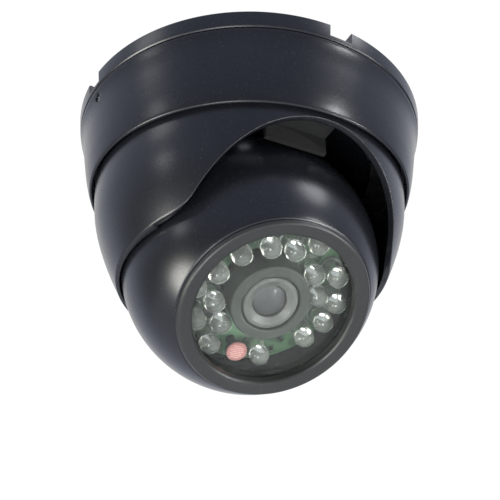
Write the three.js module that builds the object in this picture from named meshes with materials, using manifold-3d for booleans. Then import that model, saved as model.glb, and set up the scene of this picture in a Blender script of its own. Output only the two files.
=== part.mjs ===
// Dome security camera, hanging from a ceiling: millimetres, +Z up.
// The mounting face is at z = 0 and the body hangs below it.
// The front of the camera looks towards -Y.
import * as THREE from 'three';
import { mergeVertices } from 'three/addons/utils/BufferGeometryUtils.js';
import Module from 'manifold-3d';

const wasm = await Module();
wasm.setup();

// ---------------------------------------------------------------- main sizes

const BASE_RADIUS = 46.5;
const BASE_PLATE = 3;
const BASE_RIM = 4.2;
const SPIGOT_OUTER = 42;
const SPIGOT_INNER = 40.2;
const SPIGOT_BOTTOM = -9.2;
const NOTCH_WIDTH = 5.8;
const NOTCH_DEPTH = 3.2;
const NOTCH_ANGLES = [-1.2, 81.5];
const CABLE_HOLE_RADIUS = 6;
const CABLE_HOLE_Y = 16;
const MOUNT_HOLE_RADIUS = 2.2;
const MOUNT_HOLE_CIRCLE = 26;
const MOUNT_HOLE_ANGLES = [30, 150, 270];
const POST_CIRCLE = 36;
const POST_ANGLES = [90, 210, 330];
const POST_RADIUS = 3;
const POST_BOTTOM = -12.8;

const SET_SCREW_Z = -6.4;
const SET_SCREW_ANGLES = [80, 260];

const BALL_Z = -38.7;
const BALL_OUTER = 32.1;
const BALL_INNER = 29.7;
const BALL_FRONT = 22.6;
const BALL_SPLIT = -9;
const BALL_BACK = -26;
const REST_TILT = 36.2;

const BEZEL_BACK = 21.2;
const BEZEL_INNER = 18.9;
const GLASS_FRONT = 20.9;
const GLASS_BACK = 19.1;
const GLASS_RADIUS = 21.5;
const GLASS_SEAT = 18;
const GLASS_SEAT_INNER = 20.1;

const BOARD_BACK = 9;
const BOARD_FRONT = 10.6;
const BOARD_RADIUS = 19.8;
const LED_BACK = 10.9;
const LED_TIP = 18.8;
const LED_RADIUS = 2.4;
// Each LED as [distance from the lens axis, degrees round it].
const LED_SPOTS = [
  [13.6, -42], [13, -71], [13, -97], [17, -112], [11.9, -136], [17, -148], [11.9, -164],
  [17.2, 188], [16.2, 169], [15, 148], [15.2, 103], [17, 56], [12.2, 44], [17.2, 30], [12.6, 16],
  [17.4, 2], [14.2, -15],
];
const PHOTOCELL_SPOT = [15.2, 81];

const SHROUD_RADIUS = 9.5;
const BARREL_HEAD = 6.6;
const BARREL_THREAD = 6;
const SENSOR_BOARD_FRONT = -3.5;

const PIVOT_RADIUS = 2;
const PIVOT_CLEARANCE = 0.35;
const PIVOT_END = 34.2;
const SOCKET_END = 34.5;
const BOSS_FACE = 32.7;
const BOSS_RADIUS = 4.4;

const ARCH_RADIUS = 26.7;
const ARCH_Z = -49.25;
const ARCH_SIDE = 24.9;
const RIM_CORNER_X = 29.2;
const RIM_CORNER_Z = -43.2;
const RIM_Z = -45.6;
const RIM_SLOPE = 0.123;

const HUGE = 48;
const BIG = 40;
const SMALL = 16;

// ---------------------------------------------------------------- colours

const black = { color: 0x0d0e11, roughness: 0.42, metalness: 0.25 };
const bezelGrey = { color: 0x1c1d1d, roughness: 0.45, metalness: 0.3 };
const steel = { color: 0x9c9ea0, roughness: 0.35, metalness: 0.9 };
const rubber = { color: 0x121212, roughness: 0.85, metalness: 0 };
const nylon = { color: 0x2a2a2c, roughness: 0.6, metalness: 0 };
const zinc = { color: 0x55575a, roughness: 0.45, metalness: 0.8 };
const board = { color: 0x2c6b40, roughness: 0.55, metalness: 0 };
const darkPlastic = { color: 0x191a1a, roughness: 0.6, metalness: 0 };
const barrelGrey = { color: 0x6b6e6c, roughness: 0.4, metalness: 0.3 };
const clear = { color: 0xdfe8e2, roughness: 0.08, metalness: 0 };
const coated = { color: 0x2a2b33, roughness: 0.05, metalness: 0 };
const pink = { color: 0xd98e86, roughness: 0.5, metalness: 0 };
const chip = { color: 0x24262a, roughness: 0.3, metalness: 0 };

// ---------------------------------------------------------------- helpers

const device = new THREE.Group();
device.name = 'dome_camera';

const tiltGroup = new THREE.Group();
tiltGroup.name = 'tilt_head';
tiltGroup.position.set(0, 0, BALL_Z);
tiltGroup.rotation.x = -THREE.MathUtils.degToRad(REST_TILT);
device.add(tiltGroup);

function addPiece(name, geometry, look, parent = device) {
  const mesh = new THREE.Mesh(geometry, new THREE.MeshStandardMaterial(look));
  mesh.name = name;
  parent.add(mesh);
  return mesh;
}

// Swap the winding of a shape that came out facing inwards.
function facingOut(geometry) {
  const position = geometry.attributes.position;
  const index = geometry.index.array;
  const [a, b, c] = [new THREE.Vector3(), new THREE.Vector3(), new THREE.Vector3()];
  let volume = 0;
  for (let i = 0; i < index.length; i += 3) {
    a.fromBufferAttribute(position, index[i]);
    b.fromBufferAttribute(position, index[i + 1]);
    c.fromBufferAttribute(position, index[i + 2]);
    volume += a.dot(b.cross(c));
  }
  if (volume < 0) {
    for (let i = 0; i < index.length; i += 3) {
      [index[i + 1], index[i + 2]] = [index[i + 2], index[i + 1]];
    }
  }
  geometry.computeVertexNormals();
  return geometry;
}

// Turn a closed profile of [radius, z] pairs about Z.
function turned(profile, segments = BIG) {
  return turnedSolid([...profile, profile[0]], segments);
}

// Turn a profile that starts and ends on the axis.
function turnedSolid(profile, segments = SMALL) {
  const points = profile.map(([radius, z]) => new THREE.Vector2(radius, z));
  const geometry = new THREE.LatheGeometry(points, segments);
  geometry.rotateX(Math.PI / 2);
  return facingOut(geometry);
}

function disc(radius, bottom, top, segments = SMALL) {
  const geometry = new THREE.CylinderGeometry(radius, radius, top - bottom, segments);
  geometry.rotateX(Math.PI / 2);
  geometry.translate(0, 0, (top + bottom) / 2);
  return geometry;
}

function box(width, depth, height, x = 0, y = 0, z = 0) {
  const geometry = new THREE.BoxGeometry(width, depth, height);
  geometry.translate(x, y, z);
  return geometry;
}

function ring(inner, outer, bottom, top, segments = SMALL) {
  return turned([[inner, bottom], [outer, bottom], [outer, top], [inner, top]], segments);
}

function toSolid(geometry) {
  const plain = geometry.clone();
  plain.deleteAttribute('normal');
  plain.deleteAttribute('uv');
  const merged = mergeVertices(plain, 1e-4);
  const solid = new wasm.Manifold(new wasm.Mesh({
    numProp: 3,
    vertProperties: new Float32Array(merged.attributes.position.array),
    triVerts: new Uint32Array(merged.index.array),
  }));
  return solid;
}

function toGeometry(solid) {
  const mesh = solid.getMesh();
  const geometry = new THREE.BufferGeometry();
  geometry.setAttribute('position', new THREE.BufferAttribute(new Float32Array(mesh.vertProperties), 3));
  geometry.setIndex(new THREE.BufferAttribute(new Uint32Array(mesh.triVerts), 1));
  geometry.computeVertexNormals();
  return geometry;
}

function cut(start, ...tools) {
  let solid = toSolid(start);
  for (const tool of tools) {
    solid = solid.subtract(toSolid(tool));
  }
  return toGeometry(solid);
}

function join(start, ...others) {
  let solid = toSolid(start);
  for (const other of others) {
    solid = solid.add(toSolid(other));
  }
  return toGeometry(solid);
}

// Angle 0 is the front (-Y); positive angles go towards -X.
function around(geometry, degrees) {
  return geometry.rotateZ(-THREE.MathUtils.degToRad(degrees));
}

function at(geometry, x, y, z) {
  return geometry.translate(x, y, z);
}

function spot(circle, degrees) {
  const angle = THREE.MathUtils.degToRad(degrees);
  return [-circle * Math.sin(angle), -circle * Math.cos(angle)];
}

// Points on the ball between two heights, as [radius, z] pairs.
function ballArc(radius, from, to, steps) {
  const start = Math.asin(from / radius);
  const end = Math.asin(to / radius);
  return Array.from({ length: steps + 1 }, (_, step) => {
    const angle = start + (end - start) * step / steps;
    return [radius * Math.cos(angle), radius * Math.sin(angle)];
  });
}

// ---------------------------------------------------------------- base plate

function basePlate() {
  const plate = turnedSolid([
    [0, -BASE_PLATE], [SPIGOT_INNER, -BASE_PLATE],
    [SPIGOT_INNER, SPIGOT_BOTTOM], [SPIGOT_OUTER - 0.4, SPIGOT_BOTTOM],
    [SPIGOT_OUTER, SPIGOT_BOTTOM + 0.4], [SPIGOT_OUTER, -BASE_RIM],
    [BASE_RADIUS - 0.8, -BASE_RIM], [BASE_RADIUS - 0.5, -BASE_RIM + 0.3],
    [BASE_RADIUS, -0.3], [BASE_RADIUS - 0.3, 0], [0, 0],
  ], HUGE);
  const posts = POST_ANGLES.map((degrees) => {
    const [x, y] = spot(POST_CIRCLE, degrees);
    return at(disc(POST_RADIUS, POST_BOTTOM, -BASE_PLATE + 0.5, 16), x, y, 0);
  });
  const notches = NOTCH_ANGLES.map((degrees) => (
    around(box(NOTCH_WIDTH, 16, NOTCH_DEPTH * 2, 0, -42, 0), degrees)
  ));
  const mountHoles = MOUNT_HOLE_ANGLES.flatMap((degrees) => {
    const [x, y] = spot(MOUNT_HOLE_CIRCLE, degrees);
    return [
      at(disc(MOUNT_HOLE_RADIUS, -BASE_PLATE - 1, 1, 20), x, y, 0),
      at(disc(4, -BASE_PLATE - 1, -1.8, 20), x, y, 0),
    ];
  });
  const screwHoles = POST_ANGLES.map((degrees) => {
    const [x, y] = spot(POST_CIRCLE, degrees);
    return at(disc(1.6, POST_BOTTOM - 1, -BASE_PLATE - 0.8, 16), x, y, 0);
  });
  const cableHole = [
    at(disc(CABLE_HOLE_RADIUS, -BASE_PLATE - 1, 1, 24), 0, CABLE_HOLE_Y, 0),
    at(disc(8, -1, 1, 24), 0, CABLE_HOLE_Y, 0),
  ];
  const dimples = SET_SCREW_ANGLES.map((degrees) => {
    const hole = new THREE.CylinderGeometry(1.3, 1.3, 1.2, 16);
    return around(at(hole, 0, -SPIGOT_OUTER, SET_SCREW_Z), degrees);
  });
  return cut(join(plate, ...posts), ...notches, ...mountHoles, ...screwHoles, ...cableHole,
    ...dimples);
}
addPiece('base_plate', basePlate(), black);

addPiece('cable_grommet', at(turned([
  [3.5, -4.6], [7.4, -4.6], [7.4, -3.3], [5.7, -3.3], [5.7, -0.8], [7.6, -0.8], [7.6, -0.2],
  [3.5, -0.2],
], 24), 0, CABLE_HOLE_Y, 0), rubber);

// ---------------------------------------------------------------- cover ring

function coverRing() {
  const wall = turned([
    [42.4, -15.6], [41.9, -15.8], [41.9, -19.3], [40.75, -19.3], [40.75, -21.5], [40.95, -21.8],
    [41.25, -21.9], [41.55, -21.75], [41.78, -21.3], [42.25, -19.9],
    [42.95, -17.3], [43.55, -14.4], [44.05, -11.8], [44.5, -9.4], [44.95, -7.4], [45.35, -6.1],
    [45.7, -5.2], [45.8, -4.8], [45.7, -4.6], [44, -4.6], [44, -6.0], [42.4, -6.0],
  ], HUGE);
  const holes = SET_SCREW_ANGLES.map((degrees) => {
    const hole = new THREE.CylinderGeometry(1.1, 1.1, 8, 16);
    return around(at(hole, 0, -44, SET_SCREW_Z - 0.3), degrees);
  });
  return cut(wall, ...holes);
}
addPiece('cover_ring', coverRing(), black);

function coverSeal() {
  const points = Array.from({ length: 6 }, (_, step) => {
    const angle = step * Math.PI / 3;
    return [43.1 + 0.55 * Math.cos(angle), -5.05 + 0.5 * Math.sin(angle)];
  });
  return turned(points, BIG);
}
addPiece('cover_seal', coverSeal(), rubber);

SET_SCREW_ANGLES.forEach((degrees, index) => {
  const body = turnedSolid([[0, 0], [0.6, 0], [0.8, 0.3], [0.8, 2.7], [0.45, 2.7], [0.45, 1.8], [0, 1.8]], 10);
  body.rotateX(Math.PI / 2);
  body.translate(0, -42.1, SET_SCREW_Z - 0.3);
  addPiece(`cover_set_screw_${index + 1}`, around(body, degrees), zinc);
});

// ---------------------------------------------------------------- swivel bearing

function retainerRing() {
  const plate = ring(32.6, 41.3, -15.1, -13.1, BIG);
  const holes = POST_ANGLES.map((degrees) => {
    const [x, y] = spot(POST_CIRCLE, degrees);
    return at(disc(1.8, -16, -12, 16), x, y, 0);
  });
  return cut(plate, ...holes);
}
addPiece('retainer_ring', retainerRing(), steel);

addPiece('friction_ring', ring(39.3, 41.2, -16.7, -15.4, BIG), nylon);

POST_ANGLES.forEach((degrees, index) => {
  const [x, y] = spot(POST_CIRCLE, degrees);
  const screw = turnedSolid([
    [0, -16.1], [0.9, -16.1], [0.9, -16.6], [2.1, -16.6], [2.4, -16.3], [2.4, -15.4], [1.3, -15.4],
    [1.3, -4.6], [0, -4.6],
  ], 12);
  addPiece(`retainer_screw_${index + 1}`, at(screw, x, y, 0), zinc);
});

// ---------------------------------------------------------------- swivel shell

// Both profiles run downwards as [radius, z].
const SHELL_OUTSIDE = [
  [41.5, -17], [41.5, -19], [40.2, -19.2], [40.2, -22], [39.85, -26.5], [39.1, -30.8], [37.85, -35],
  [36.2, -39.2], [34.45, -43], [32.4, -47], [31, -50.2],
];
const SHELL_INSIDE = [
  [38.6, -17], [38.6, -22], [38.1, -26.5], [37.3, -30.8], [36, -35], [34.3, -39.2], [32.75, -43],
  [31.4, -47], [29.9, -50.2],
];

// The scooped front opening: a round arch whose lower corners blend into the rim.
function archTool() {
  const shape = new THREE.Shape();
  const start = Math.acos(ARCH_SIDE / ARCH_RADIUS);
  const cornerX = 25.9;
  const cornerZ = RIM_CORNER_Z + 0.65;
  const fall = 0.32 * (60 - RIM_CORNER_X);
  shape.moveTo(-60, -80);
  shape.lineTo(60, -80);
  shape.lineTo(60, RIM_CORNER_Z - fall);
  shape.lineTo(RIM_CORNER_X, RIM_CORNER_Z);
  shape.quadraticCurveTo(cornerX, cornerZ, ARCH_SIDE, ARCH_Z + ARCH_RADIUS * Math.sin(start));
  shape.absarc(0, ARCH_Z, ARCH_RADIUS, start, Math.PI - start, false);
  shape.quadraticCurveTo(-cornerX, cornerZ, -RIM_CORNER_X, RIM_CORNER_Z);
  shape.lineTo(-60, RIM_CORNER_Z - fall);
  shape.closePath();
  const tool = new THREE.ExtrudeGeometry(shape, { depth: 60, bevelEnabled: false, curveSegments: 24 });
  tool.rotateX(Math.PI / 2);
  tool.translate(0, -15, 0);
  return tool;
}

function crossPin(radius, from, to, side, segments = SMALL) {
  const pin = new THREE.CylinderGeometry(radius, radius, to - from, segments);
  pin.rotateZ(Math.PI / 2);
  return at(pin, side * (from + to) / 2, 0, 0);
}

function domeShell() {
  const filled = toSolid(turnedSolid([[0, -17], ...SHELL_OUTSIDE, [0, -50.2]], HUGE));
  const hollow = toSolid(turnedSolid([[0, -16], [38.6, -16], ...SHELL_INSIDE, [29, -52], [0, -52]], HUGE));
  let shell = filled.subtract(hollow);
  for (const side of [-1, 1]) {
    const boss = toSolid(at(crossPin(BOSS_RADIUS, BOSS_FACE, 40, side), 0, 0, BALL_Z));
    const socketRadius = PIVOT_RADIUS + PIVOT_CLEARANCE;
    const socket = toSolid(at(crossPin(socketRadius, 32, SOCKET_END, side), 0, 0, BALL_Z));
    shell = shell.add(boss.intersect(filled)).subtract(socket);
  }
  const rim = box(120, 120, 40, 0, 0, -20);
  rim.rotateX(-Math.atan(RIM_SLOPE));
  rim.translate(0, 0, RIM_Z);
  return toGeometry(shell.subtract(toSolid(rim)).subtract(toSolid(archTool())));
}
addPiece('dome_shell', domeShell(), black);

function stopBracket() {
  const plate = box(15.6, 1.2, 5.5, -2.7, -29.9, -20.45);
  const foot = toSolid(box(15.6, 12, 1.2, -2.7, -35.3, -18.1));
  const rounded = foot.intersect(toSolid(disc(38.2, -20, -16, HUGE)));
  return toGeometry(rounded.add(toSolid(plate)));
}
addPiece('stop_bracket', stopBracket(), nylon);

// ---------------------------------------------------------------- eyeball
// In the tilting head the lens looks along -Z, and depths are measured from the ball's centre.

function eyeballFront() {
  const outside = ballArc(BALL_OUTER, -BALL_FRONT, -BALL_SPLIT, 10);
  const inside = ballArc(BALL_INNER, -16.5, -BALL_SPLIT, 6).reverse();
  const body = turned([
    ...outside, ...inside, [GLASS_SEAT_INNER, -16.5], [GLASS_SEAT_INNER, -GLASS_SEAT],
    [GLASS_RADIUS + 0.3, -GLASS_SEAT], [GLASS_RADIUS + 0.3, -BALL_FRONT],
  ], BIG);
  return cut(body, crossPin(PIVOT_RADIUS + 0.3, 26, 36, 1), crossPin(PIVOT_RADIUS + 0.3, 26, 36, -1));
}
addPiece('eyeball_front', eyeballFront(), black, tiltGroup);

function eyeballRear() {
  const outside = ballArc(BALL_OUTER, -BALL_SPLIT + 0.3, -BALL_BACK, 5);
  const inside = ballArc(BALL_INNER, -BALL_SPLIT + 0.3, -BALL_BACK - 2.4, 4).reverse();
  return turned([...outside, [6, -BALL_BACK], [6, -BALL_BACK - 2.4], ...inside], BIG);
}
addPiece('eyeball_rear', eyeballRear(), black, tiltGroup);

addPiece('bezel_ring', turned([
  [BEZEL_INNER, -BEZEL_BACK], [21.5, -BEZEL_BACK], [21.5, -22.9], [22.5, -22.9], [22.4, -23.2],
  [22.1, -23.65], [21.7, -23.8], [19.35, -23.25], [BEZEL_INNER, -22.9],
], HUGE), bezelGrey, tiltGroup);

addPiece('front_glass', disc(GLASS_RADIUS, -GLASS_FRONT, -GLASS_BACK, BIG), clear, tiltGroup);
addPiece('glass_gasket', ring(20.4, 21.4, -18.8, -18.3, 28), rubber, tiltGroup);

// ---------------------------------------------------------------- infra-red board

function polar([radius, degrees]) {
  const angle = THREE.MathUtils.degToRad(degrees);
  return [-radius * Math.cos(angle), radius * Math.sin(angle)];
}

addPiece('ir_board', ring(10, BOARD_RADIUS, -BOARD_FRONT, -BOARD_BACK, 32), board, tiltGroup);

function led() {
  const dome = ballArc(LED_RADIUS, 0, LED_RADIUS, 3).map(([radius, z]) => [radius, -LED_TIP + LED_RADIUS - z]);
  dome[dome.length - 1][0] = 0;
  return turnedSolid([
    [0, -LED_BACK], [2.7, -LED_BACK], [2.7, -LED_BACK - 0.8], [LED_RADIUS, -LED_BACK - 0.8], ...dome,
  ], 12);
}
LED_SPOTS.forEach((place, index) => {
  const [x, y] = polar(place);
  const name = `ir_led_${String(index + 1).padStart(2, '0')}`;
  addPiece(name, at(led(), x, y, 0), clear, tiltGroup);
});

function photocell() {
  const [x, y] = polar(PHOTOCELL_SPOT);
  const cell = turnedSolid([[0, -LED_BACK], [1.3, -LED_BACK], [1.3, -14.3], [2.5, -14.3], [2.5, -16.3],
    [2.3, -16.5], [0, -16.5]], 20);
  return at(cell, x, y, 0);
}
addPiece('photocell', photocell(), pink, tiltGroup);

// ---------------------------------------------------------------- lens

addPiece('lens_shroud', turned([
  [7, -12], [SHROUD_RADIUS - 0.4, -12], [SHROUD_RADIUS, -12.4], [SHROUD_RADIUS, -18.5],
  [SHROUD_RADIUS - 0.3, -18.8], [7.2, -18.8], [7, -18.6],
], 28), darkPlastic, tiltGroup);

function lensHolder() {
  const tube = ring(BARREL_THREAD + 0.3, 8, -8, 2.2, 20);
  const foot = cut(box(17, 17, 2.2, 0, 0, 1.6), disc(7, -3, 6, 20));
  const window = box(11, 11, 3, 0, 0, 2.6);
  return cut(join(tube, foot), window);
}
addPiece('lens_holder', lensHolder(), darkPlastic, tiltGroup);

addPiece('lens_lock_ring', ring(BARREL_THREAD + 0.3, 8.2, -9.6, -8.3, 24), nylon, tiltGroup);

addPiece('lens_barrel', turned([
  [3.2, 0.3], [BARREL_THREAD - 0.3, 0.3], [BARREL_THREAD, 0], [BARREL_THREAD, -10.2], [BARREL_HEAD, -10.6],
  [BARREL_HEAD, -18.1], [BARREL_HEAD - 0.3, -18.4], [5.6, -18.4], [4.1, -17.5], [4.1, -15.9], [3.2, -15.9],
], 24), barrelGrey, tiltGroup);

addPiece('lens_element', turnedSolid([
  [0, -16.2], [3.8, -16.2], [3.8, -17], [3.1, -17.35], [2.2, -17.65], [1.1, -17.85], [0, -17.9],
], 24), coated, tiltGroup);

// ---------------------------------------------------------------- camera electronics

addPiece('sensor_board', box(30, 30, 1.6, 0, 0, -SENSOR_BOARD_FRONT + 0.8), board, tiltGroup);
addPiece('image_sensor', box(9, 9, 1.2, 0, 0, 2.6), chip, tiltGroup);

[[-1, -1], [1, -1], [1, 1], [-1, 1]].forEach(([sideX, sideY], index) => {
  const post = disc(2, -BOARD_BACK + 0.3, -SENSOR_BOARD_FRONT - 0.3, 6);
  addPiece(`standoff_${index + 1}`, at(post, sideX * 12.4, sideY * 12.4, 0), steel, tiltGroup);
});

[['left', -1], ['right', 1]].forEach(([word, side]) => {
  const pin = join(crossPin(PIVOT_RADIUS, 28, PIVOT_END, side), crossPin(3.4, 27.4, 29.1, side));
  addPiece(`pivot_pin_${word}`, pin, steel, tiltGroup);
});

export default device;
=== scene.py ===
"""Dome security camera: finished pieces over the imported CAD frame, with studio camera, floor and lights.

Shapes are written in millimetres in the CAD's own frame and turned into metres when the meshes are made.
"""

import math
import random

import bmesh
import bpy
from mathutils import Matrix, Vector


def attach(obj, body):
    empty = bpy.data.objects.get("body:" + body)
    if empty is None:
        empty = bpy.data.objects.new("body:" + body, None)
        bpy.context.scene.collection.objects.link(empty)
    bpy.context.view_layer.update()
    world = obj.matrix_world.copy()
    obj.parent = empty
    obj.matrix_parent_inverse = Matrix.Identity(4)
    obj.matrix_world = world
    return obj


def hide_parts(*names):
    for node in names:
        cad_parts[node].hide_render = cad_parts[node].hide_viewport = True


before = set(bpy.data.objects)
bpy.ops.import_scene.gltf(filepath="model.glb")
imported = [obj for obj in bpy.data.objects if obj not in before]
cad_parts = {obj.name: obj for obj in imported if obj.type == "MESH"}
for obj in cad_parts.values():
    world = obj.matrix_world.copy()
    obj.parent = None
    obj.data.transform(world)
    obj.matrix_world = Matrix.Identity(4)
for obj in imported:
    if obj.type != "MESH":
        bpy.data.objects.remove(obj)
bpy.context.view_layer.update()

MM = 0.001

# ---------------------------------------------------------------- sizes shared with the CAD, in mm

BASE_RADIUS = 46.5
NOTCH_WIDTH = 5.8
NOTCH_ANGLES = (-1.2, 81.5)
SET_SCREW_ANGLES = (80, 260)
SET_SCREW_Z = -6.7
POST_ANGLES = (90, 210, 330)
POST_CIRCLE = 36
MOUNT_HOLE_ANGLES = (30, 150, 270)
MOUNT_HOLE_CIRCLE = 26
CABLE_HOLE_Y = 16

BALL_Z = -38.7
BALL_OUTER = 32.1
BALL_INNER = 29.7
REST_TILT = 36.2
HEAD = Matrix.Translation((0, 0, BALL_Z)) @ Matrix.Rotation(math.radians(-REST_TILT), 4, "X")

ARCH_RADIUS = 26.7
ARCH_Z = -49.25
ARCH_SIDE = 24.9
ARCH_CORNER = (25.9, -42.55)
RIM_CORNER = (29.2, -43.2)
RIM_FALL = 0.32
RIM_Z = -45.6
RIM_SLOPE = 0.123

LED_SPOTS = (
    (13.6, -42), (13, -71), (13, -97), (17, -112), (11.9, -136), (17, -148), (11.9, -164), (17.2, 188),
    (16.2, 169), (15, 148), (15.2, 103), (17, 56), (12.2, 44), (17.2, 30), (12.6, 16), (17.4, 2), (14.2, -15),
)
PHOTOCELL_SPOT = (15.2, 81)
LED_BACK = 10.9
LED_TIP = 18.8
LED_RADIUS = 2.4
BOARD_FRONT = 10.6
BOARD_BACK = 9
BOARD_RADIUS = 19.8

# steps round a turned piece
ROUND = 288
MEDIUM = 144
SMALL = 48
ON_AXIS = 1e-6

# noise scales of the finishes, in waves per metre
PAINT_CLOUDS = 38
PAINT_GRAIN = 2600
PAINT_RIPPLE = 700
PAINT_RUBBING = 420
PAINT_SHEEN = 160
METAL_STREAKS = 900
METAL_SHEEN = 300
PLASTIC_GRAIN = 1800
PLASTIC_SHEEN = 220
BOARD_TRACKS = 330
BOARD_WEAVE = 1500
BOARD_SHEEN = 260
GLASS_SMEARS = 120
GLASS_RIPPLE = 60
LENS_FILM = 3

GLASS_IOR = 1.5
WINDOW_MIRROR = 0.2

random.seed(7)

# ---------------------------------------------------------------- node materials


def colour(red, green, blue):
    return (red, green, blue, 1)


class Finish:
    """A procedural material being put together: its node tree, its shader and short ways to add nodes."""

    def __init__(self, name):
        self.material = bpy.data.materials.new(name)
        self.material.use_nodes = True
        self.nodes = self.material.node_tree.nodes
        self.links = self.material.node_tree.links
        self.shader = self.nodes["Principled BSDF"]
        self.place = self.nodes.new("ShaderNodeTexCoord").outputs["Object"]

    def set(self, **values):
        for word, value in values.items():
            self.shader.inputs[word.replace("_", " ")].default_value = value

    def noise(self, scale, detail=2.0, roughness=0.5, stretch=(1, 1, 1)):
        mapping = self.nodes.new("ShaderNodeMapping")
        mapping.inputs["Scale"].default_value = stretch
        self.links.new(self.place, mapping.inputs["Vector"])
        node = self.nodes.new("ShaderNodeTexNoise")
        node.inputs["Scale"].default_value = scale
        node.inputs["Detail"].default_value = detail
        node.inputs["Roughness"].default_value = roughness
        self.links.new(mapping.outputs["Vector"], node.inputs["Vector"])
        return node.outputs["Fac"]

    def cells(self, scale):
        node = self.nodes.new("ShaderNodeTexVoronoi")
        node.inputs["Scale"].default_value = scale
        self.links.new(self.place, node.inputs["Vector"])
        return node.outputs["Distance"]

    def spread(self, source, low, high, to_low, to_high):
        node = self.nodes.new("ShaderNodeMapRange")
        node.inputs["From Min"].default_value = low
        node.inputs["From Max"].default_value = high
        node.inputs["To Min"].default_value = to_low
        node.inputs["To Max"].default_value = to_high
        self.links.new(source, node.inputs["Value"])
        return node.outputs["Result"]

    def vary(self, source, low, high):
        """Noise stays mostly between 0.3 and 0.7, so that range is spread from low to high."""
        return self.spread(source, 0.3, 0.7, low, high)

    def mix(self, factor, first, second):
        node = self.nodes.new("ShaderNodeMix")
        node.data_type = "RGBA"
        self.links.new(factor, node.inputs["Factor"])
        for value, socket in ((first, node.inputs[6]), (second, node.inputs[7])):
            if isinstance(value, tuple):
                socket.default_value = value
            else:
                self.links.new(value, socket)
        return node.outputs[2]

    def multiply(self, first, second):
        node = self.nodes.new("ShaderNodeMath")
        node.operation = "MULTIPLY"
        self.links.new(first, node.inputs[0])
        self.links.new(second, node.inputs[1])
        return node.outputs[0]

    def mix_shaders(self, factor, first, second):
        node = self.nodes.new("ShaderNodeMixShader")
        self.links.new(factor, node.inputs["Fac"])
        self.links.new(first, node.inputs[1])
        self.links.new(second, node.inputs[2])
        return node.outputs["Shader"]

    def edge(self, low, high):
        """1 on worn convex edges and 0 elsewhere."""
        pointy = self.nodes.new("ShaderNodeNewGeometry").outputs["Pointiness"]
        return self.spread(pointy, low, high, 0, 1)

    def bump(self, *layers):
        """Each layer is (height output, strength, distance in mm)."""
        normal = None
        for height, strength, distance in layers:
            node = self.nodes.new("ShaderNodeBump")
            node.inputs["Strength"].default_value = strength
            node.inputs["Distance"].default_value = distance * MM
            self.links.new(height, node.inputs["Height"])
            if normal is not None:
                self.links.new(normal, node.inputs["Normal"])
            normal = node.outputs["Normal"]
        self.links.new(normal, self.shader.inputs["Normal"])

    def use(self, base=None, roughness=None):
        if base is not None:
            self.links.new(base, self.shader.inputs["Base Color"])
        if roughness is not None:
            self.links.new(roughness, self.shader.inputs["Roughness"])
        return self.material

    def show(self, surface):
        self.links.new(surface, self.nodes["Material Output"].inputs["Surface"])
        return self.material


def satin_paint(name, dark, light, worn, rough, grain=0.35):
    """Satin powder coat: fine grain, faint cloudiness, slightly rubbed edges."""
    made = Finish(name)
    clouds = made.noise(PAINT_CLOUDS, 3)
    grains = made.noise(PAINT_GRAIN, 2, 0.6)
    body = made.mix(made.vary(clouds, 0, 1), colour(*dark), colour(*light))
    specks = made.spread(grains, 0.62, 0.74, 0, 0.35)
    flecked = made.mix(specks, body, colour(*worn))
    rubbed = made.multiply(made.edge(0.56, 0.68), made.spread(made.noise(PAINT_RUBBING, 3), 0.45, 0.7, 0, 0.3))
    base = made.mix(rubbed, flecked, colour(*worn))
    made.bump((grains, grain, 0.016), (made.noise(PAINT_RIPPLE, 2), grain * 0.12, 0.03))
    made.set(Specular_IOR_Level=0.5, IOR=1.5)
    return made.use(base, made.vary(made.noise(PAINT_SHEEN, 4), rough - 0.006, rough + 0.008))


def metal(name, tone, rough, brushed=(1, 1, 1)):
    made = Finish(name)
    streaks = made.noise(METAL_STREAKS, 3, 0.6, brushed)
    dark = tuple(0.78 * part for part in tone)
    base = made.mix(made.vary(streaks, 0, 1), colour(*dark), colour(*tone))
    made.bump((streaks, 0.25, 0.01))
    made.set(Metallic=1.0)
    return made.use(base, made.vary(made.noise(METAL_SHEEN, 3), rough - 0.06, rough + 0.08))


def plastic(name, tone, light, rough, grain=0.25):
    made = Finish(name)
    grains = made.noise(PLASTIC_GRAIN, 3, 0.6)
    base = made.mix(made.spread(grains, 0.35, 0.7, 0, 1), colour(*tone), colour(*light))
    made.bump((grains, grain, 0.02))
    return made.use(base, made.vary(made.noise(PLASTIC_SHEEN, 3), rough - 0.05, rough + 0.07))


def circuit_board(name):
    """Solder mask with copper tracks showing through as a slightly lighter green."""
    made = Finish(name)
    tracks = made.spread(made.cells(BOARD_TRACKS), 0.36, 0.42, 0, 1)
    weave = made.noise(BOARD_WEAVE, 2)
    mask = made.mix(tracks, colour(0.06, 0.105, 0.065), colour(0.1, 0.2, 0.11))
    base = made.mix(made.spread(weave, 0.4, 0.75, 0, 0.5), mask, colour(0.09, 0.145, 0.095))
    made.bump((tracks, 0.3, 0.03), (weave, 0.15, 0.01))
    return made.use(base, made.vary(made.noise(BOARD_SHEEN, 3), 0.32, 0.5))


def start_glass(name, tint, rough_low, rough_high):
    """The clear part of a glass or epoxy, and the noise that its smears and haze follow."""
    made = Finish(name)
    smears = made.noise(GLASS_SMEARS, 4, 0.6)
    made.set(Transmission_Weight=1.0, IOR=GLASS_IOR, Base_Color=colour(*tint))
    made.links.new(made.vary(smears, rough_low, rough_high), made.shader.inputs["Roughness"])
    made.bump((made.noise(GLASS_RIPPLE, 2), 0.02, 0.02))
    return made, smears


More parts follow.
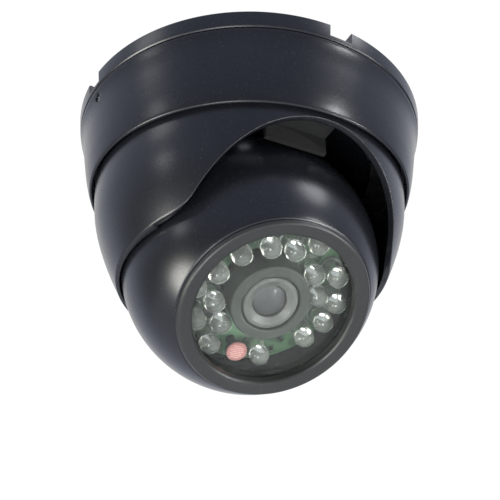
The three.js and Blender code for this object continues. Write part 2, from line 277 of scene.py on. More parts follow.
def clear_material(name, tint, rough, haze, haze_colour):
    """Clear glass or epoxy with a little milky haze in it."""
    made, smears = start_glass(name, tint, rough, rough + 0.03)
    milky = made.nodes.new("ShaderNodeBsdfPrincipled")
    milky.inputs["Base Color"].default_value = colour(*haze_colour)
    milky.inputs["Roughness"].default_value = 0.6
    amount = made.vary(smears, haze * 0.8, haze * 1.2)
    return made.show(made.mix_shaders(amount, made.shader.outputs["BSDF"], milky.outputs["BSDF"]))


def window_material(name, tint, mirror, haze, haze_colour):
    """A coated pane with a faint film: it bends what is seen through it and lets lamps straight through."""
    made, film = start_glass(name, tint, 0, 0.015)
    made.set(Specular_Tint=colour(mirror, mirror, mirror))
    clear = made.nodes.new("ShaderNodeBsdfTransparent")
    clear.inputs["Color"].default_value = colour(*tint)
    to_a_lamp = made.nodes.new("ShaderNodeLightPath").outputs["Is Shadow Ray"]
    pane = made.mix_shaders(to_a_lamp, made.shader.outputs["BSDF"], clear.outputs["BSDF"])
    milky = made.nodes.new("ShaderNodeBsdfDiffuse")
    milky.inputs["Color"].default_value = colour(*haze_colour)
    return made.show(made.mix_shaders(made.vary(film, haze * 0.7, haze * 1.3), pane, milky.outputs["BSDF"]))


def coated_lens(name):
    """Dark glass under a clear coat, with a faint uneven film."""
    made = Finish(name)
    film = made.noise(LENS_FILM, 2)
    base = made.mix(made.vary(film, 0, 1), colour(0.024, 0.024, 0.025), colour(0.034, 0.033, 0.036))
    made.set(Coat_Weight=0.7, Coat_Roughness=0.05, Coat_Tint=colour(0.85, 0.87, 0.88))
    return made.use(base, made.vary(film, 0.5, 0.52))


black_paint = satin_paint(
    "black_paint", (0.008, 0.0088, 0.0115), (0.0115, 0.0127, 0.0165), (0.07, 0.07, 0.072), 0.27
)
bezel_paint = satin_paint(
    "bezel_paint", (0.02, 0.0212, 0.02), (0.028, 0.0292, 0.0275), (0.12, 0.12, 0.118), 0.34
)
barrel_grey = satin_paint(
    "barrel_grey", (0.06, 0.063, 0.06), (0.082, 0.085, 0.081), (0.25, 0.25, 0.25), 0.4, 0.2
)
rubber = plastic("rubber", (0.008, 0.008, 0.008), (0.016, 0.016, 0.016), 0.75, 0.5)
zinc = metal("zinc_steel", (0.36, 0.37, 0.38), 0.38)
steel = metal("plain_steel", (0.62, 0.62, 0.61), 0.3, (1, 1, 6))
nylon = plastic("black_nylon", (0.014, 0.014, 0.013), (0.022, 0.022, 0.021), 0.55)
shroud_plastic = plastic("shroud_plastic", (0.014, 0.017, 0.015), (0.021, 0.025, 0.022), 0.6, 0.1)
pcb = circuit_board("green_board")
cell_face = plastic("photocell_face", (0.27, 0.105, 0.1), (0.34, 0.16, 0.15), 0.45)
cell_rim = plastic("photocell_rim", (0.5, 0.26, 0.24), (0.6, 0.36, 0.33), 0.4)
chip_face = plastic("sensor_chip", (0.02, 0.02, 0.024), (0.035, 0.035, 0.045), 0.25, 0.05)
solder = metal("solder", (0.78, 0.78, 0.76), 0.22)
part_body = plastic("small_part_body", (0.012, 0.012, 0.013), (0.022, 0.022, 0.024), 0.5)
bright_cup = metal("lead_frame_silver", (0.86, 0.86, 0.82), 0.14)
front_glass_look = window_material("front_glass", (0.97, 0.985, 0.97), WINDOW_MIRROR, 0.022, (0.6, 0.65, 0.6))
epoxy = clear_material("clear_epoxy", (0.96, 0.985, 0.96), 0.015, 0.08, (0.88, 0.92, 0.86))
lens_look = coated_lens("lens_glass")

# ---------------------------------------------------------------- mesh helpers


def along(start, end, share):
    return (start[0] + (end[0] - start[0]) * share, start[1] + (end[1] - start[1]) * share)


def soften(profile, radius=0.15, closed=True):
    """Round every real corner of a 2-D outline. Points on the turning axis stay sharp."""
    least_turn, steps = math.radians(14), 4
    made = []
    count = len(profile)
    for i, corner in enumerate(profile):
        at_end = not closed and i in (0, count - 1)
        if at_end or corner[0] < ON_AXIS:
            made.append(corner)
            continue
        before, after = profile[i - 1], profile[(i + 1) % count]
        into, out = Vector(corner) - Vector(before), Vector(after) - Vector(corner)
        turn = into.angle(out, 0)
        if turn < least_turn:
            made.append(corner)
            continue
        reach = min(radius * math.tan(turn / 2), 0.45 * into.length, 0.45 * out.length)
        start = along(corner, before, reach / into.length)
        end = along(corner, after, reach / out.length)
        for step in range(steps + 1):
            share = step / steps
            made.append(along(along(start, corner, share), along(corner, end, share), share))
    return made


def flowing(points, per=5):
    """A smooth curve through the points (Catmull-Rom)."""
    made = []
    for i in range(len(points) - 1):
        spans = [Vector(points[min(max(j, 0), len(points) - 1)]) for j in (i - 1, i, i + 1, i + 2)]
        for step in range(per):
            t = step / per
            value = 0.5 * (
                2 * spans[1] + (spans[2] - spans[0]) * t
                + (2 * spans[0] - 5 * spans[1] + 4 * spans[2] - spans[3]) * t ** 2
                + (3 * spans[1] - spans[0] - 3 * spans[2] + spans[3]) * t ** 3
            )
            made.append(tuple(value))
    return made + [tuple(points[-1])]


def arc(radius, start, end, steps, centre=(0, 0)):
    """Points on a circle from one angle to another, in degrees, as (radius, height)."""
    angles = [math.radians(start + (end - start) * step / steps) for step in range(steps + 1)]
    return [(centre[0] + radius * math.cos(a), centre[1] + radius * math.sin(a)) for a in angles]


def finished(name, form, looks, corner=38):
    """Make an object of a bmesh in mm: outward normals, smooth shading, hard edges kept."""
    bmesh.ops.remove_doubles(form, verts=form.verts, dist=1e-5)
    bmesh.ops.recalc_face_normals(form, faces=form.faces)
    bmesh.ops.scale(form, vec=(MM, MM, MM), verts=form.verts)
    mesh = bpy.data.meshes.new(name)
    form.to_mesh(mesh)
    form.free()
    shade(mesh, corner)
    piece = bpy.data.objects.new(name, mesh)
    bpy.context.scene.collection.objects.link(piece)
    for look in looks if isinstance(looks, tuple) else (looks,):
        mesh.materials.append(look)
    return piece


def shade(mesh, corner=38):
    mesh.polygons.foreach_set("use_smooth", [True] * len(mesh.polygons))
    mesh.set_sharp_from_angle(angle=math.radians(corner))


def add_lathe(form, profile, segments, place=None, look=0, closed=True):
    """Turn (radius, height) pairs about Z into a bmesh."""
    place = place or Matrix.Identity(4)
    rows = []
    for radius, height in profile:
        if radius < ON_AXIS:
            rows.append([form.verts.new(place @ Vector((0, 0, height)))] * segments)
            continue
        row = []
        for step in range(segments):
            angle = 2 * math.pi * step / segments
            point = Vector((radius * math.cos(angle), radius * math.sin(angle), height))
            row.append(form.verts.new(place @ point))
        rows.append(row)
    last = len(rows) if closed else len(rows) - 1
    for i in range(last):
        upper, lower = rows[i], rows[(i + 1) % len(rows)]
        for step in range(segments):
            after = (step + 1) % segments
            corners = list(dict.fromkeys((upper[step], upper[after], lower[after], lower[step])))
            if len(corners) > 2:
                form.faces.new(corners).material_index = look
    return form


def turned(name, profile, material, segments=MEDIUM, place=None, radius=0.15):
    """A closed turned piece; a profile that touches the axis twice is closed along it."""
    on_axis = sum(1 for point in profile if point[0] < ON_AXIS) == 2
    form = bmesh.new()
    add_lathe(form, soften(profile, radius, closed=not on_axis), segments, place, closed=not on_axis)
    return finished(name, form, material)


def in_head(profile):
    """(radius, depth towards the lens) to (radius, height) in the tilting head's frame."""
    return [(radius, -depth) for radius, depth in profile]


def spot(circle, degrees):
    """Angle 0 is the front (-Y) and positive angles go towards -X."""
    angle = math.radians(degrees)
    return Vector((-circle * math.sin(angle), -circle * math.cos(angle), 0))


def around(degrees):
    """A turn about the vertical axis, counted as in spot()."""
    return Matrix.Rotation(-math.radians(degrees), 4, "Z")


def on_face(spot_in_head, depth=0.0):
    """The place of something that stands on the head's face, looking out along -Z."""
    radius, degrees = spot_in_head
    angle = math.radians(degrees)
    return HEAD @ Matrix.Translation((-radius * math.cos(angle), radius * math.sin(angle), -depth))


def add_block(form, size, place, bevel=0.1, look=0):
    """Add a box with rounded edges; size and bevel are in mm."""
    made = bmesh.ops.create_cube(form, size=1, matrix=place @ Matrix.Diagonal((*size, 1)))
    edges = list(dict.fromkeys(edge for vert in made["verts"] for edge in vert.link_edges))
    for face in dict.fromkeys(face for vert in made["verts"] for face in vert.link_faces):
        face.material_index = look
    if bevel:
        bmesh.ops.bevel(form, geom=edges, offset=bevel, segments=2, profile=0.5, affect="EDGES")


def block_cutter(size, place):
    form = bmesh.new()
    add_block(form, size, place, bevel=0)
    return finished("cutter", form, black_paint)


def round_cutter(radius, low, high, place, segments=SMALL):
    form = bmesh.new()
    add_lathe(form, [(0, low), (radius, low), (radius, high), (0, high)], segments, place, closed=False)
    return finished("cutter", form, black_paint)


def carve(piece, cutters, bevel=0.0, angle=40):
    """Cut shapes out of a piece, break the new sharp edges and drop the cutters."""
    for cutter in cutters:
        change = piece.modifiers.new("cut", "BOOLEAN")
        change.operation = "DIFFERENCE"
        change.solver = "EXACT"
        change.object = cutter
    if bevel:
        change = piece.modifiers.new("edges", "BEVEL")
        change.width = bevel * MM
        change.segments = 2
        change.limit_method = "ANGLE"
        change.angle_limit = math.radians(angle)
    result = piece.evaluated_get(bpy.context.evaluated_depsgraph_get())
    mesh = bpy.data.meshes.new_from_object(result)
    piece.modifiers.clear()
    piece.data = mesh
    shade(mesh)
    for cutter in cutters:
        bpy.data.objects.remove(cutter)
    return piece


def stands_for(piece, body, *nodes, slot=None):
    """Ride the piece on its body, in place of the named CAD nodes. The slot argument is not used."""
    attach(piece, body)
    if nodes:
        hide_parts(*nodes)
    return piece


# ---------------------------------------------------------------- base plate

plate_profile = (
    [(0, -3), (40.2, -3), (40.2, -9.2), (42, -9.2), (42, -4.2), (BASE_RADIUS - 0.8, -4.2)]
    + [(BASE_RADIUS - 0.5, -3.9), (BASE_RADIUS, -0.3), (BASE_RADIUS - 0.3, 0), (0, 0)]
)
base = turned("base_casting", plate_profile, black_paint, ROUND, radius=0.22)
cutters = []
for angle in NOTCH_ANGLES:
    cutters.append(block_cutter((NOTCH_WIDTH, 16, 6.4), around(angle) @ Matrix.Translation((0, -42, 0))))
for angle in MOUNT_HOLE_ANGLES:
    place = Matrix.Translation(spot(MOUNT_HOLE_CIRCLE, angle))
    cutters.append(round_cutter(2.2, -5, 1, place))
    cutters.append(round_cutter(4, -5, -1.8, place))
cable_place = Matrix.Translation((0, CABLE_HOLE_Y, 0))
cutters.append(round_cutter(6, -5, 1, cable_place))
cutters.append(round_cutter(8, -1, 1, cable_place))
carve(base, cutters, bevel=0.12)
stands_for(base, "base", "base_plate")

posts = bmesh.new()
for angle in POST_ANGLES:
    tube = soften([(1.6, -12.8), (3, -12.8), (3, -2.6), (1.6, -2.6)], 0.2)
    add_lathe(posts, tube, SMALL, Matrix.Translation(spot(POST_CIRCLE, angle)))
stands_for(finished("base_posts", posts, black_paint), "base")

grommet_profile = [
    (3.5, -4.6), (7.4, -4.6), (7.4, -3.3), (5.7, -3.3), (5.7, -0.8), (7.6, -0.8), (7.6, -0.2), (3.5, -0.2),
]
grommet = turned("cable_bush", grommet_profile, rubber, SMALL * 2, cable_place, radius=0.25)
stands_for(grommet, "base", "cable_grommet", slot="seal_rubber")

# ---------------------------------------------------------------- cover ring

cover_wall = flowing([
    (41.78, -21.3), (42.25, -19.9), (42.95, -17.3), (43.55, -14.4), (44.05, -11.8), (44.5, -9.4),
    (44.95, -7.4), (45.35, -6.1), (45.7, -5.2), (45.8, -4.8),
], 6)
cover_lip = flowing([
    (40.75, -21.45), (40.95, -21.8), (41.25, -21.9), (41.55, -21.75), (41.78, -21.3),
], 4)[:-1]
cover_inside = soften([
    (44, -4.6), (44, -6.0), (42.4, -6.0), (42.4, -15.6), (41.9, -15.8), (41.9, -19.3), (40.75, -19.3),
], 0.12)
cover_profile = cover_inside + cover_lip + cover_wall + [(45.77, -4.68), (45.68, -4.6)]
cover_form = bmesh.new()
add_lathe(cover_form, cover_profile, ROUND)
cover = finished("cover_shell", cover_form, black_paint)
outward = Matrix.Translation((0, 0, SET_SCREW_Z)) @ Matrix.Rotation(math.radians(90), 4, "X")
holes = [round_cutter(1.1, 38, 50, around(angle) @ outward, 32) for angle in SET_SCREW_ANGLES]
carve(cover, holes, bevel=0.06, angle=50)
stands_for(cover, "base", "cover_ring")

seal_angles = [step * math.pi / 8 for step in range(16)]
seal_profile = [(43.1 + 0.55 * math.cos(angle), -5.05 + 0.5 * math.sin(angle)) for angle in seal_angles]
seal = turned("cover_o_ring", seal_profile, rubber, MEDIUM)
stands_for(seal, "base", "cover_seal", slot="seal_rubber")

grub_profile = [(0, 42.1), (0.6, 42.1), (0.8, 42.4), (0.8, 44.8), (0.45, 44.8), (0.45, 43.9), (0, 43.9)]
for number, angle in enumerate(SET_SCREW_ANGLES, 1):
    screw = turned(f"cover_grub_screw_{number}", grub_profile, zinc, 24, around(angle) @ outward, radius=0.06)
    stands_for(screw, "base", f"cover_set_screw_{number}")

# ---------------------------------------------------------------- swivel bearing

retainer = turned("swivel_retainer", [(32.6, -15.1), (41.3, -15.1), (41.3, -13.1), (32.6, -13.1)], steel)
stands_for(retainer, "base", "retainer_ring")
friction = turned("swivel_friction_ring", [(39.3, -16.7), (41.2, -16.7), (41.2, -15.4), (39.3, -15.4)], nylon)
stands_for(friction, "base", "friction_ring")

# ---------------------------------------------------------------- swivel shell

SHELL_TOP = -19.4
SHELL_OUTSIDE = flowing([
    (40.2, SHELL_TOP), (40.2, -22), (39.85, -26.5), (39.1, -30.8), (37.85, -35), (36.2, -39.2), (34.45, -43),
    (32.4, -47), (31, -50.2),
], 8)
SHELL_INSIDE = flowing([
    (38.6, SHELL_TOP), (38.6, -22), (38.1, -26.5), (37.3, -30.8), (36, -35), (34.3, -39.2), (32.75, -43),
    (31.4, -47), (29.9, -50.2),
], 8)
SHELL_FLANGE = [(38.6, -17), (41.3, -17), (41.5, -17.2), (41.5, -18.8), (41.3, -19.05), (40.3, -19.15)]
LIP_ROUNDING = 0.35
LIP_STEPS = (0, 0.25, 0.5, 0.75, 1)
SHELL_COLUMNS = 480
SHELL_ROWS = 40


def radius_at(curve, height):
    for above, below in zip(curve, curve[1:]):
        if below[1] <= height <= above[1]:
            share = (above[1] - height) / (above[1] - below[1])
            return above[0] + (below[0] - above[0]) * share
    return curve[0][0] if height > curve[0][1] else curve[-1][0]


def bezier(first, middle, last, share):
    return (1 - share) ** 2 * first + 2 * share * (1 - share) * middle + share ** 2 * last


def arch_height(x):
    """How high the scooped opening reaches at a distance from its middle."""
    x = abs(x)
    if x <= ARCH_SIDE:
        return ARCH_Z + math.sqrt(ARCH_RADIUS ** 2 - x ** 2)
    if x >= RIM_CORNER[0]:
        return RIM_CORNER[1] - RIM_FALL * (x - RIM_CORNER[0])
    low, high = 0.0, 1.0
    for _ in range(30):
        share = (low + high) / 2
        reached = bezier(ARCH_SIDE, ARCH_CORNER[0], RIM_CORNER[0], share)
        low, high = (share, high) if reached < x else (low, share)
    side = ARCH_Z + math.sqrt(ARCH_RADIUS ** 2 - ARCH_SIDE ** 2)
    return bezier(side, ARCH_CORNER[1], RIM_CORNER[1], share)


def end_height(curve, degrees):
    """How low the shell reaches at this angle round it, on one of its two faces."""
    low, high = SHELL_OUTSIDE[-1][1], SHELL_TOP
    for _ in range(40):
        middle = (low + high) / 2
        x, y, _ = spot(radius_at(curve, middle), degrees)
        edge = RIM_Z - RIM_SLOPE * y
        if y < -15:
            edge = max(edge, arch_height(x))
        low, high = (middle, high) if middle < edge else (low, middle)
    return high


def shell_outline(degrees):
    """The shell's closed section at one angle, with both edges of its rim rounded."""
    outer_end, inner_end = end_height(SHELL_OUTSIDE, degrees), end_height(SHELL_INSIDE, degrees)
    shares = [row / SHELL_ROWS for row in range(SHELL_ROWS + 1)]
    outer = [SHELL_TOP + (outer_end - SHELL_TOP) * share for share in shares]
    inner = [SHELL_TOP + (inner_end - SHELL_TOP) * share for share in reversed(shares)]
    outer = [Vector((radius_at(SHELL_OUTSIDE, height), height)) for height in outer]
    inner = [Vector((radius_at(SHELL_INSIDE, height), height)) for height in inner]
    across = (inner[0] - outer[-1]).normalized()
    lips = []
    for corner, beside, into in ((outer[-1], outer[-2], across), (inner[0], inner[1], -across)):
        first = corner + (beside - corner).normalized() * LIP_ROUNDING
        last = corner + into * LIP_ROUNDING
        lips.append([Vector(along(along(first, corner, t), along(corner, last, t), t)) for t in LIP_STEPS])
    return [Vector(point) for point in SHELL_FLANGE] + outer[:-1] + lips[0] + lips[1][::-1] + inner[1:]


def swivel_shell():
    """The shell as closed sections side by side, with a boss for each tilt pivot on its inner face."""
    form = bmesh.new()
    columns = []
    for step in range(SHELL_COLUMNS):
        degrees = 360 * step / SHELL_COLUMNS
        direction = spot(1, degrees)
        outline = shell_outline(degrees)
        columns.append([form.verts.new((direction.x * p.x, direction.y * p.x, p.y)) for p in outline])
    for step in range(SHELL_COLUMNS):
        left, right = columns[step], columns[(step + 1) % SHELL_COLUMNS]
        for i in range(len(left)):
            after = (i + 1) % len(left)
            form.faces.new((left[i], left[after], right[after], right[i]))
    for side in (-1, 1):
        place = Matrix.Translation((0, 0, BALL_Z)) @ Matrix.Rotation(side * math.radians(90), 4, "Y")
        boss = soften([(2.35, 32.7), (4.4, 32.7), (4.4, 34), (2.35, 34)], 0.25)
        add_lathe(form, boss, SMALL, place)
    return finished("swivel_dome", form, black_paint, corner=50)


stands_for(swivel_shell(), "swivel", "dome_shell")

# ---------------------------------------------------------------- eyeball and bezel


def ball_angle(radius, height):
    """The angle on a sphere, in degrees, at a height above its centre."""
    return math.degrees(math.asin(height / radius))


front_profile = (
    arc(BALL_OUTER, ball_angle(BALL_OUTER, 8.85), ball_angle(BALL_OUTER, -22.5), 48)
    + [(22.75, -22.6), (21.85, -22.6), (21.8, -22.55), (21.8, -18), (20.1, -18), (20.1, -16.5)]
    + arc(BALL_INNER, ball_angle(BALL_INNER, -16.5), ball_angle(BALL_INNER, 9), 20)
    + [(30.65, 9)]
)
form = bmesh.new()
add_lathe(form, front_profile, ROUND, HEAD)
stands_for(finished("ball_front", form, black_paint), "eyeball", "eyeball_front")

rear_profile = (
    arc(BALL_OUTER, ball_angle(BALL_OUTER, 9.45), ball_angle(BALL_OUTER, 25.8), 30)
    + [(18.6, 26), (6.2, 26), (6, 25.8), (6, 23.6)]
    + arc(BALL_INNER, ball_angle(BALL_INNER, 23.6), ball_angle(BALL_INNER, 9.3), 20)
    + [(30.6, 9.3)]
)
form = bmesh.new()
add_lathe(form, rear_profile, ROUND, HEAD)
stands_for(finished("ball_rear", form, black_paint), "eyeball", "eyeball_rear")

bezel_profile = in_head([
    (18.9, 21.2), (21.5, 21.2), (21.5, 22.9), (22.5, 22.9), (22.4, 23.2), (22.1, 23.65), (21.7, 23.8),
    (19.35, 23.25), (18.9, 22.9),
])
bezel = turned("bezel", bezel_profile, bezel_paint, ROUND, HEAD, radius=0.28)
stands_for(bezel, "eyeball", "bezel_ring")

glass_profile = in_head([(0, 19.1), (21.35, 19.1), (21.5, 19.25), (21.5, 20.75), (21.35, 20.9), (0, 20.9)])
glass = turned("window_glass", glass_profile, front_glass_look, MEDIUM, HEAD, radius=0.05)
stands_for(glass, "eyeball", "front_glass")

gasket_profile = in_head([(20.4, 18.3), (21.4, 18.3), (21.4, 18.8), (20.4, 18.8)])
gasket = turned("window_gasket", gasket_profile, rubber, MEDIUM, HEAD)
stands_for(gasket, "eyeball", "glass_gasket", slot="seal_rubber")

# ---------------------------------------------------------------- infra-red board

board_profile = in_head([
    (10, BOARD_BACK), (BOARD_RADIUS, BOARD_BACK), (BOARD_RADIUS, BOARD_FRONT), (10, BOARD_FRONT),
])
board = turned("led_board", board_profile, pcb, MEDIUM, HEAD, radius=0.08)
stands_for(board, "eyeball", "ir_board")

# each small part's distance from the middle, angle round it, own turn and length
SMALL_PARTS = (
    (15.4, 128, 20, 2.0), (17.6, 119, 80, 1.6), (17.7, 74, -20, 1.6), (13.0, 64, 30, 2.0), (18.2, -82, 0, 1.6),
    (15.6, -127, 50, 1.6), (12.4, -15, 10, 1.6), (17.9, -60, 35, 2.0), (17.9, 92, 5, 1.6), (12.2, 117, 70, 1.6),
)
small_parts = bmesh.new()
for radius, degrees, turn, length in SMALL_PARTS:
    place = on_face((radius, degrees), BOARD_FRONT) @ Matrix.Rotation(math.radians(turn), 4, "Z")
    body = place @ Matrix.Translation((0, 0, -0.28))
    add_block(small_parts, (length * 0.62, 0.8, 0.5), body, 0.05, 0)
    for side in (-1, 1):
        cap = place @ Matrix.Translation((side * length * 0.4, 0, -0.26))
        add_block(small_parts, (length * 0.2, 0.84, 0.5), cap, 0.05, 1)
stands_for(finished("led_board_parts", small_parts, (part_body, solder)), "eyeball", slot="plain_steel")

led_dome = arc(LED_RADIUS, 0, 90, 14, (0, LED_TIP - LED_RADIUS))[:-1]
led_profile = in_head(
    [(0, LED_BACK), (2.62, LED_BACK), (2.7, LED_BACK + 0.08), (2.7, LED_BACK + 0.72), (2.62, LED_BACK + 0.8)]
    + [(LED_RADIUS, LED_BACK + 0.82)] + led_dome + [(0, LED_TIP)]
)
cup_profile = in_head([
    (0, 13.9), (0.5, 13.9), (1.3, 14.9), (1.6, 14.9), (1.6, 13.2), (1.2, 12.9), (0.9, 11.3), (0, 11.3),
])
chip_profile = in_head([(0, 14.15), (0.32, 14.15), (0.32, 13.95), (0, 13.95)])
lead_frames = bmesh.new()
for number, place_of_led in enumerate(LED_SPOTS, 1):
    form = bmesh.new()
    add_lathe(form, led_profile, SMALL, on_face(place_of_led), closed=False)
    stands_for(finished(f"led_{number:02d}", form, epoxy), "eyeball", f"ir_led_{number:02d}")
    place = on_face(place_of_led) @ Matrix.Rotation(random.uniform(0, 6.3), 4, "Z")
    add_lathe(lead_frames, cup_profile, 24, place, 0, closed=False)
    add_lathe(lead_frames, chip_profile, 4, place, 1, closed=False)
    add_block(lead_frames, (0.55, 0.9, 3.0), place @ Matrix.Translation((1.75, 0, -12.8)), 0.08, 0)
    add_block(lead_frames, (1.2, 0.3, 0.3), place @ Matrix.Translation((1.3, 0, -14.2)), 0.05, 0)
stands_for(finished("led_lead_frames", lead_frames, (bright_cup, chip_face)), "eyeball", slot="plain_steel")

# ---------------------------------------------------------------- photocell

cell = bmesh.new()
place = on_face(PHOTOCELL_SPOT)
cell_body = in_head([(0, LED_BACK), (1.3, LED_BACK), (1.3, 14.9), (2.5, 14.9), (2.5, 15.9), (0, 15.9)])
cell_disc = in_head([(0, 15.95), (2.5, 15.95), (2.5, 16.35), (2.35, 16.5), (2.1, 16.42), (0, 16.42)])
add_lathe(cell, soften(cell_body, 0.1, closed=False), SMALL, place, 2, closed=False)
add_lathe(cell, cell_disc, SMALL, place, 1, closed=False)
CELL_ROW = 0.5
for row in range(-3, 4):
    half = math.sqrt(1.9 ** 2 - (row * CELL_ROW) ** 2)
    strip = place @ Matrix.Translation((0.12 * (-1) ** row, row * CELL_ROW, -16.44))
    add_block(cell, (half * 1.7, 0.22, 0.08), strip, 0.02)
sensor = finished("light_sensor", cell, (cell_rim, cell_face, part_body))
stands_for(sensor, "eyeball", "photocell", slot="photocell_face")

# ---------------------------------------------------------------- lens

shroud_profile = in_head([
    (7, 12), (9.1, 12), (9.5, 12.4), (9.5, 18.5), (9.2, 18.8), (7.2, 18.8), (7, 18.6),
])
stands_for(turned("lens_collar", shroud_profile, shroud_plastic, MEDIUM, HEAD), "eyeball", "lens_shroud")

barrel_profile = in_head([
    (3.2, -0.3), (5.7, -0.3), (6, 0), (6, 10.2), (6.6, 10.6), (6.6, 18.1), (6.3, 18.4), (5.6, 18.4), (4.1, 17.5),
    (4.1, 15.9), (3.2, 15.9),
])
stands_for(turned("focus_barrel", barrel_profile, barrel_grey, MEDIUM, HEAD, radius=0.2), "lens", "lens_barrel")

LENS_CURVE = 8.47
element_front = arc(LENS_CURVE, 63.34, 88, 14, (0, 17.9 - LENS_CURVE))
element_profile = in_head([(0, 16.2), (3.8, 16.2)] + element_front + [(0, 17.9)])
form = bmesh.new()
add_lathe(form, element_profile, MEDIUM, HEAD, closed=False)
stands_for(finished("front_element", form, lens_look), "lens", "lens_element")

# ---------------------------------------------------------------- inner CAD pieces shown as they are

LOOKS = {
    "retainer_screw_1": zinc, "retainer_screw_2": zinc, "retainer_screw_3": zinc, "stop_bracket": nylon,
    "lens_holder": shroud_plastic, "lens_lock_ring": nylon, "sensor_board": pcb, "image_sensor": chip_face,
    "standoff_1": steel, "standoff_2": steel, "standoff_3": steel, "standoff_4": steel,
    "pivot_pin_left": steel, "pivot_pin_right": steel,
}
for name, look in LOOKS.items():
    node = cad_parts[name]
    node.data.materials.clear()
    node.data.materials.append(look)
    softened = node.modifiers.new("edges", "BEVEL")
    softened.width = 0.1 * MM
    softened.segments = 2
    softened.limit_method = "ANGLE"
    softened.angle_limit = math.radians(40)

# ---------------------------------------------------------------- floor, lights and camera

FLOOR_Z = -900
FLOOR_HALF = 2500
floor_form = bmesh.new()
bmesh.ops.create_grid(floor_form, x_segments=24, y_segments=24, size=FLOOR_HALF)
bmesh.ops.translate(floor_form, vec=(0, 0, FLOOR_Z), verts=floor_form.verts)
floor_look = plastic("floor_paper", (0.84, 0.84, 0.84), (0.87, 0.87, 0.865), 0.8, 0.02)
finished("floor", floor_form, floor_look)

BEHIND = (0.3, 0.75, 0.59)
SKY_DARKEST = (0.2, (0.2, 0.235, 0.33))
SKY_WHITE = (0.93, (1, 1, 1))
SKY_BETWEEN = ((0.45, (0.31, 0.36, 0.48)), (0.7, (0.5, 0.55, 0.66)), (0.86, (0.76, 0.8, 0.92)))
DIM_FRONT = (0.06, 0.062, 0.055)
SKY_STRENGTH = 1.02


def world_light():
    """White to look at. As light, near-white behind the object and dimmer towards the front and the horizon."""
    world = bpy.data.worlds.new("studio")
    bpy.context.scene.world = world
    world.use_nodes = True
    nodes, links = world.node_tree.nodes, world.node_tree.links
    direction = nodes.new("ShaderNodeTexCoord").outputs["Generated"]

    def to_range(source, low, high):
        node = nodes.new("ShaderNodeMapRange")
        node.inputs["From Min"].default_value = low
        node.inputs["From Max"].default_value = high
        links.new(source, node.inputs["Value"])
        return node.outputs["Result"]

    def mixed():
        node = nodes.new("ShaderNodeMix")
        node.data_type = "RGBA"
        return node

    dot = nodes.new("ShaderNodeVectorMath")
    dot.operation = "DOT_PRODUCT"
    dot.inputs[1].default_value = BEHIND
    links.new(direction, dot.inputs[0])
    ramp = nodes.new("ShaderNodeValToRGB")
    links.new(to_range(dot.outputs["Value"], -1, 1), ramp.inputs["Fac"])
    steps = ramp.color_ramp.elements
    for step, (position, tone) in zip(steps, (SKY_DARKEST, SKY_WHITE)):
        step.position, step.color = position, colour(*tone)
    for position, tone in SKY_BETWEEN:
        steps.new(position).color = colour(*tone)

    split = nodes.new("ShaderNodeSeparateXYZ")
    links.new(direction, split.inputs["Vector"])
    lit = nodes.new("ShaderNodeMath")
    lit.operation = "MAXIMUM"
    links.new(to_range(split.outputs["Z"], -0.02, 0.16), lit.inputs[0])
    links.new(to_range(dot.outputs["Value"], 0, 0.45), lit.inputs[1])
    shaded = mixed()
    shaded.inputs[6].default_value = colour(*DIM_FRONT)
    links.new(lit.outputs["Value"], shaded.inputs["Factor"])
    links.new(ramp.outputs["Color"], shaded.inputs[7])

    seen = mixed()
    seen.inputs[7].default_value = colour(1, 1, 1)
    links.new(nodes.new("ShaderNodeLightPath").outputs["Is Camera Ray"], seen.inputs["Factor"])
    links.new(shaded.outputs[2], seen.inputs[6])
    back = nodes["Background"]
    links.new(seen.outputs[2], back.inputs["Color"])
    back.inputs["Strength"].default_value = SKY_STRENGTH


world_light()


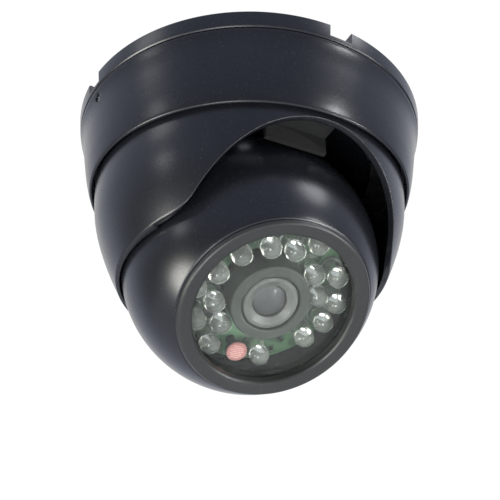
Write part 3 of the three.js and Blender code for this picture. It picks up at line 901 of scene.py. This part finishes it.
def soft_light(name, place, target, size, watts, tone=(1, 1, 1)):
    """A round soft lamp that the camera doesn't see; places and size in metres."""
    data = bpy.data.lights.new(name, "AREA")
    data.shape = "DISK"
    data.size = size
    data.energy = watts
    data.color = tone
    lamp = bpy.data.objects.new(name, data)
    lamp.location = place
    lamp.rotation_euler = (Vector(target) - Vector(place)).to_track_quat("-Z", "Y").to_euler()
    lamp.visible_camera = False
    bpy.context.scene.collection.objects.link(lamp)


def far_away(turn, height):
    """A place one metre off: turn 0 is the front (-Y), 90 is +X, height is above the horizon, in degrees."""
    turn, height = math.radians(turn), math.radians(height)
    return Vector((math.sin(turn) * math.cos(height), -math.cos(turn) * math.cos(height), math.sin(height)))


# each lamp's turn and height as in far_away(), size, watts and colour
LAMPS = (
    ("soft_left", -82, 10, 0.16, 0.32, (1, 1, 1)),
    ("soft_right", 27, 5, 0.16, 1.8, (1, 1, 1)),
    ("soft_top", 35, 40, 0.35, 1.8, (0.93, 0.96, 1)),
    ("soft_low", -89, -27, 0.4, 6.6, (1, 0.985, 0.92)),
    ("soft_high_left", -87, 33, 0.25, 0.4, (1, 1, 1)),
    ("soft_right_low", 42, -18, 0.1, 3.0, (1, 1, 1)),
)
OBJECT_MIDDLE = (0, 0, -0.03)
for name, turn, height, size, watts, tone in LAMPS:
    soft_light(name, far_away(turn, height), OBJECT_MIDDLE, size, watts, tone)
soft_light("soft_front_low", 0.42 * far_away(-42, -50), (0, 0, -0.05), 0.16, 0.65)
lens_place = Vector((0, 0, -0.053))
soft_light("small_front_low", 0.5 * far_away(35, -34) + lens_place, (0, -0.01, -0.053), 0.045, 0.6)

CAMERA_PLACE = Vector((-0.0628, -0.1307, -0.1168))
CAMERA_TARGET = Vector((0.0001, -0.0001, -0.0343))
CAMERA_ROLL = math.radians(-0.15)
CAMERA_LENS = 46.86
camera_data = bpy.data.cameras.new("camera")
camera_data.lens = CAMERA_LENS
camera_data.sensor_width = 36
camera_data.clip_start = 0.005
camera = bpy.data.objects.new("camera", camera_data)
camera.location = CAMERA_PLACE
aim = (CAMERA_TARGET - CAMERA_PLACE).to_track_quat("-Z", "Y").to_matrix()
camera.rotation_euler = (aim @ Matrix.Rotation(CAMERA_ROLL, 3, "Z")).to_euler()
bpy.context.scene.collection.objects.link(camera)
bpy.context.scene.camera = camera
bpy.context.scene.view_settings.view_transform = "Standard"
